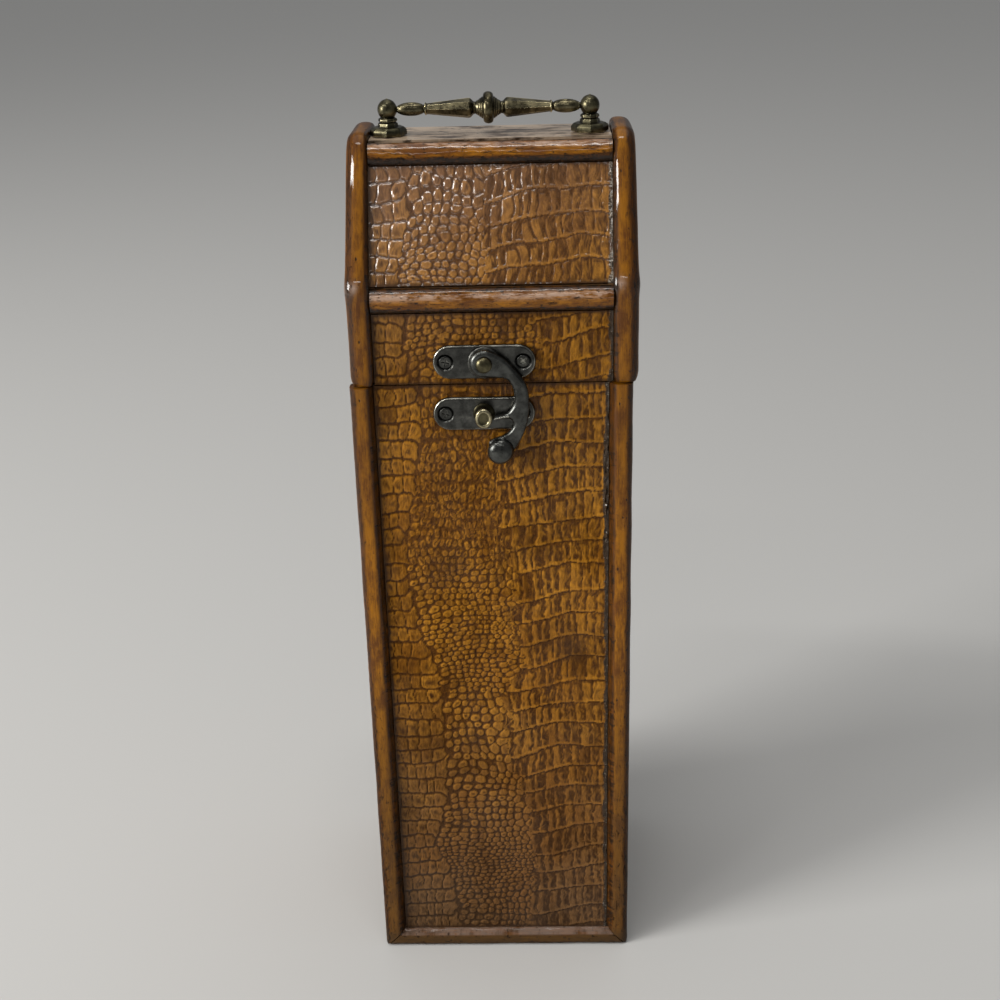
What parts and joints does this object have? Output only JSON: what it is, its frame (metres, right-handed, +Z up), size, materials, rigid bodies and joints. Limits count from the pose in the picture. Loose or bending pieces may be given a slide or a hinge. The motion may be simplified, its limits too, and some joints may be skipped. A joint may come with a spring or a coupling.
{
  "type": "wine box",
  "caption": "Upright leather-panelled wooden wine box with corner mouldings, a hinged gabled lid, a swinging hook latch and a turned bar handle.",
  "frame": {"origin": "on the floor under the middle of the case", "axes": "+Z up, the front with the latch faces -Y, +X to the right of someone facing the front"},
  "size_m": [0.1111, 0.1132, 0.3754],
  "materials": {
    "amber_wood": "gloss",
    "plain_wood": "satin",
    "embossed_leather": "semi-gloss",
    "felt_lining": "matte",
    "dark_steel": "satin",
    "antique_brass": "satin"
  },
  "bodies": {
    "box": {"back_board": "plain_wood", "back_leather": "embossed_leather", "base_strip_back": "amber_wood", "base_strip_front": "amber_wood", "base_strip_left": "amber_wood", "base_strip_right": "amber_wood", "bottom_board": "plain_wood", "corner_strip_back_left": "amber_wood", "corner_strip_back_right": "amber_wood", "corner_strip_front_left": "amber_wood", "corner_strip_front_right": "amber_wood", "floor_felt": "felt_lining", "front_board": "plain_wood", "front_leather": "embossed_leather", "hinge_left_box_leaf": "antique_brass", "hinge_left_pin": "antique_brass", "hinge_right_box_leaf": "antique_brass", "hinge_right_pin": "antique_brass", "keeper_plate": "dark_steel", "keeper_plate_screw_left": "dark_steel", "keeper_plate_screw_right": "dark_steel", "keeper_post": "antique_brass", "left_board": "plain_wood", "left_leather": "embossed_leather", "right_board": "plain_wood", "right_leather": "embossed_leather", "wall_felt": "felt_lining"},
    "lid": {"handle_bolt_left": "dark_steel", "handle_bolt_right": "dark_steel", "handle_post_left": "antique_brass", "handle_post_right": "antique_brass", "hinge_left_lid_leaf": "antique_brass", "hinge_right_lid_leaf": "antique_brass", "latch_plate": "dark_steel", "latch_plate_screw_left": "dark_steel", "latch_plate_screw_right": "dark_steel", "latch_rivet": "antique_brass", "lid_back_bend_rail": "amber_wood", "lid_back_board": "plain_wood", "lid_back_leather": "embossed_leather", "lid_back_slope_board": "plain_wood", "lid_back_slope_leather": "embossed_leather", "lid_back_top_rail": "amber_wood", "lid_front_bend_rail": "amber_wood", "lid_front_board": "plain_wood", "lid_front_leather": "embossed_leather", "lid_front_slope_board": "plain_wood", "lid_front_slope_leather": "embossed_leather", "lid_front_top_rail": "amber_wood", "lid_left_end_board": "plain_wood", "lid_left_leather": "embossed_leather", "lid_left_rim": "amber_wood", "lid_right_end_board": "plain_wood", "lid_right_leather": "embossed_leather", "lid_right_rim": "amber_wood", "lid_top_board": "amber_wood"},
    "hook": {"latch_hook": "dark_steel"},
    "handle": {"handle_bar": "antique_brass"}
  },
  "joints": [
    {"name": "lid_hinge", "type": "hinge", "parent": "box", "child": "lid", "pos_m": [0, 0.0524, 0.2703], "axis": [-1, 0, 0], "range_deg": [0, 180]},
    {"name": "hook_swing", "type": "hinge", "parent": "lid", "child": "hook", "pos_m": [-0.0024, -0.0523, 0.2796], "axis": [0, -1, 0], "range_deg": [0, 100]},
    {"name": "handle_turn", "type": "hinge", "parent": "lid", "child": "handle", "pos_m": [0.0005, -0.0045, 0.3693], "axis": [1, 0, 0], "continuous": true}
  ]
}
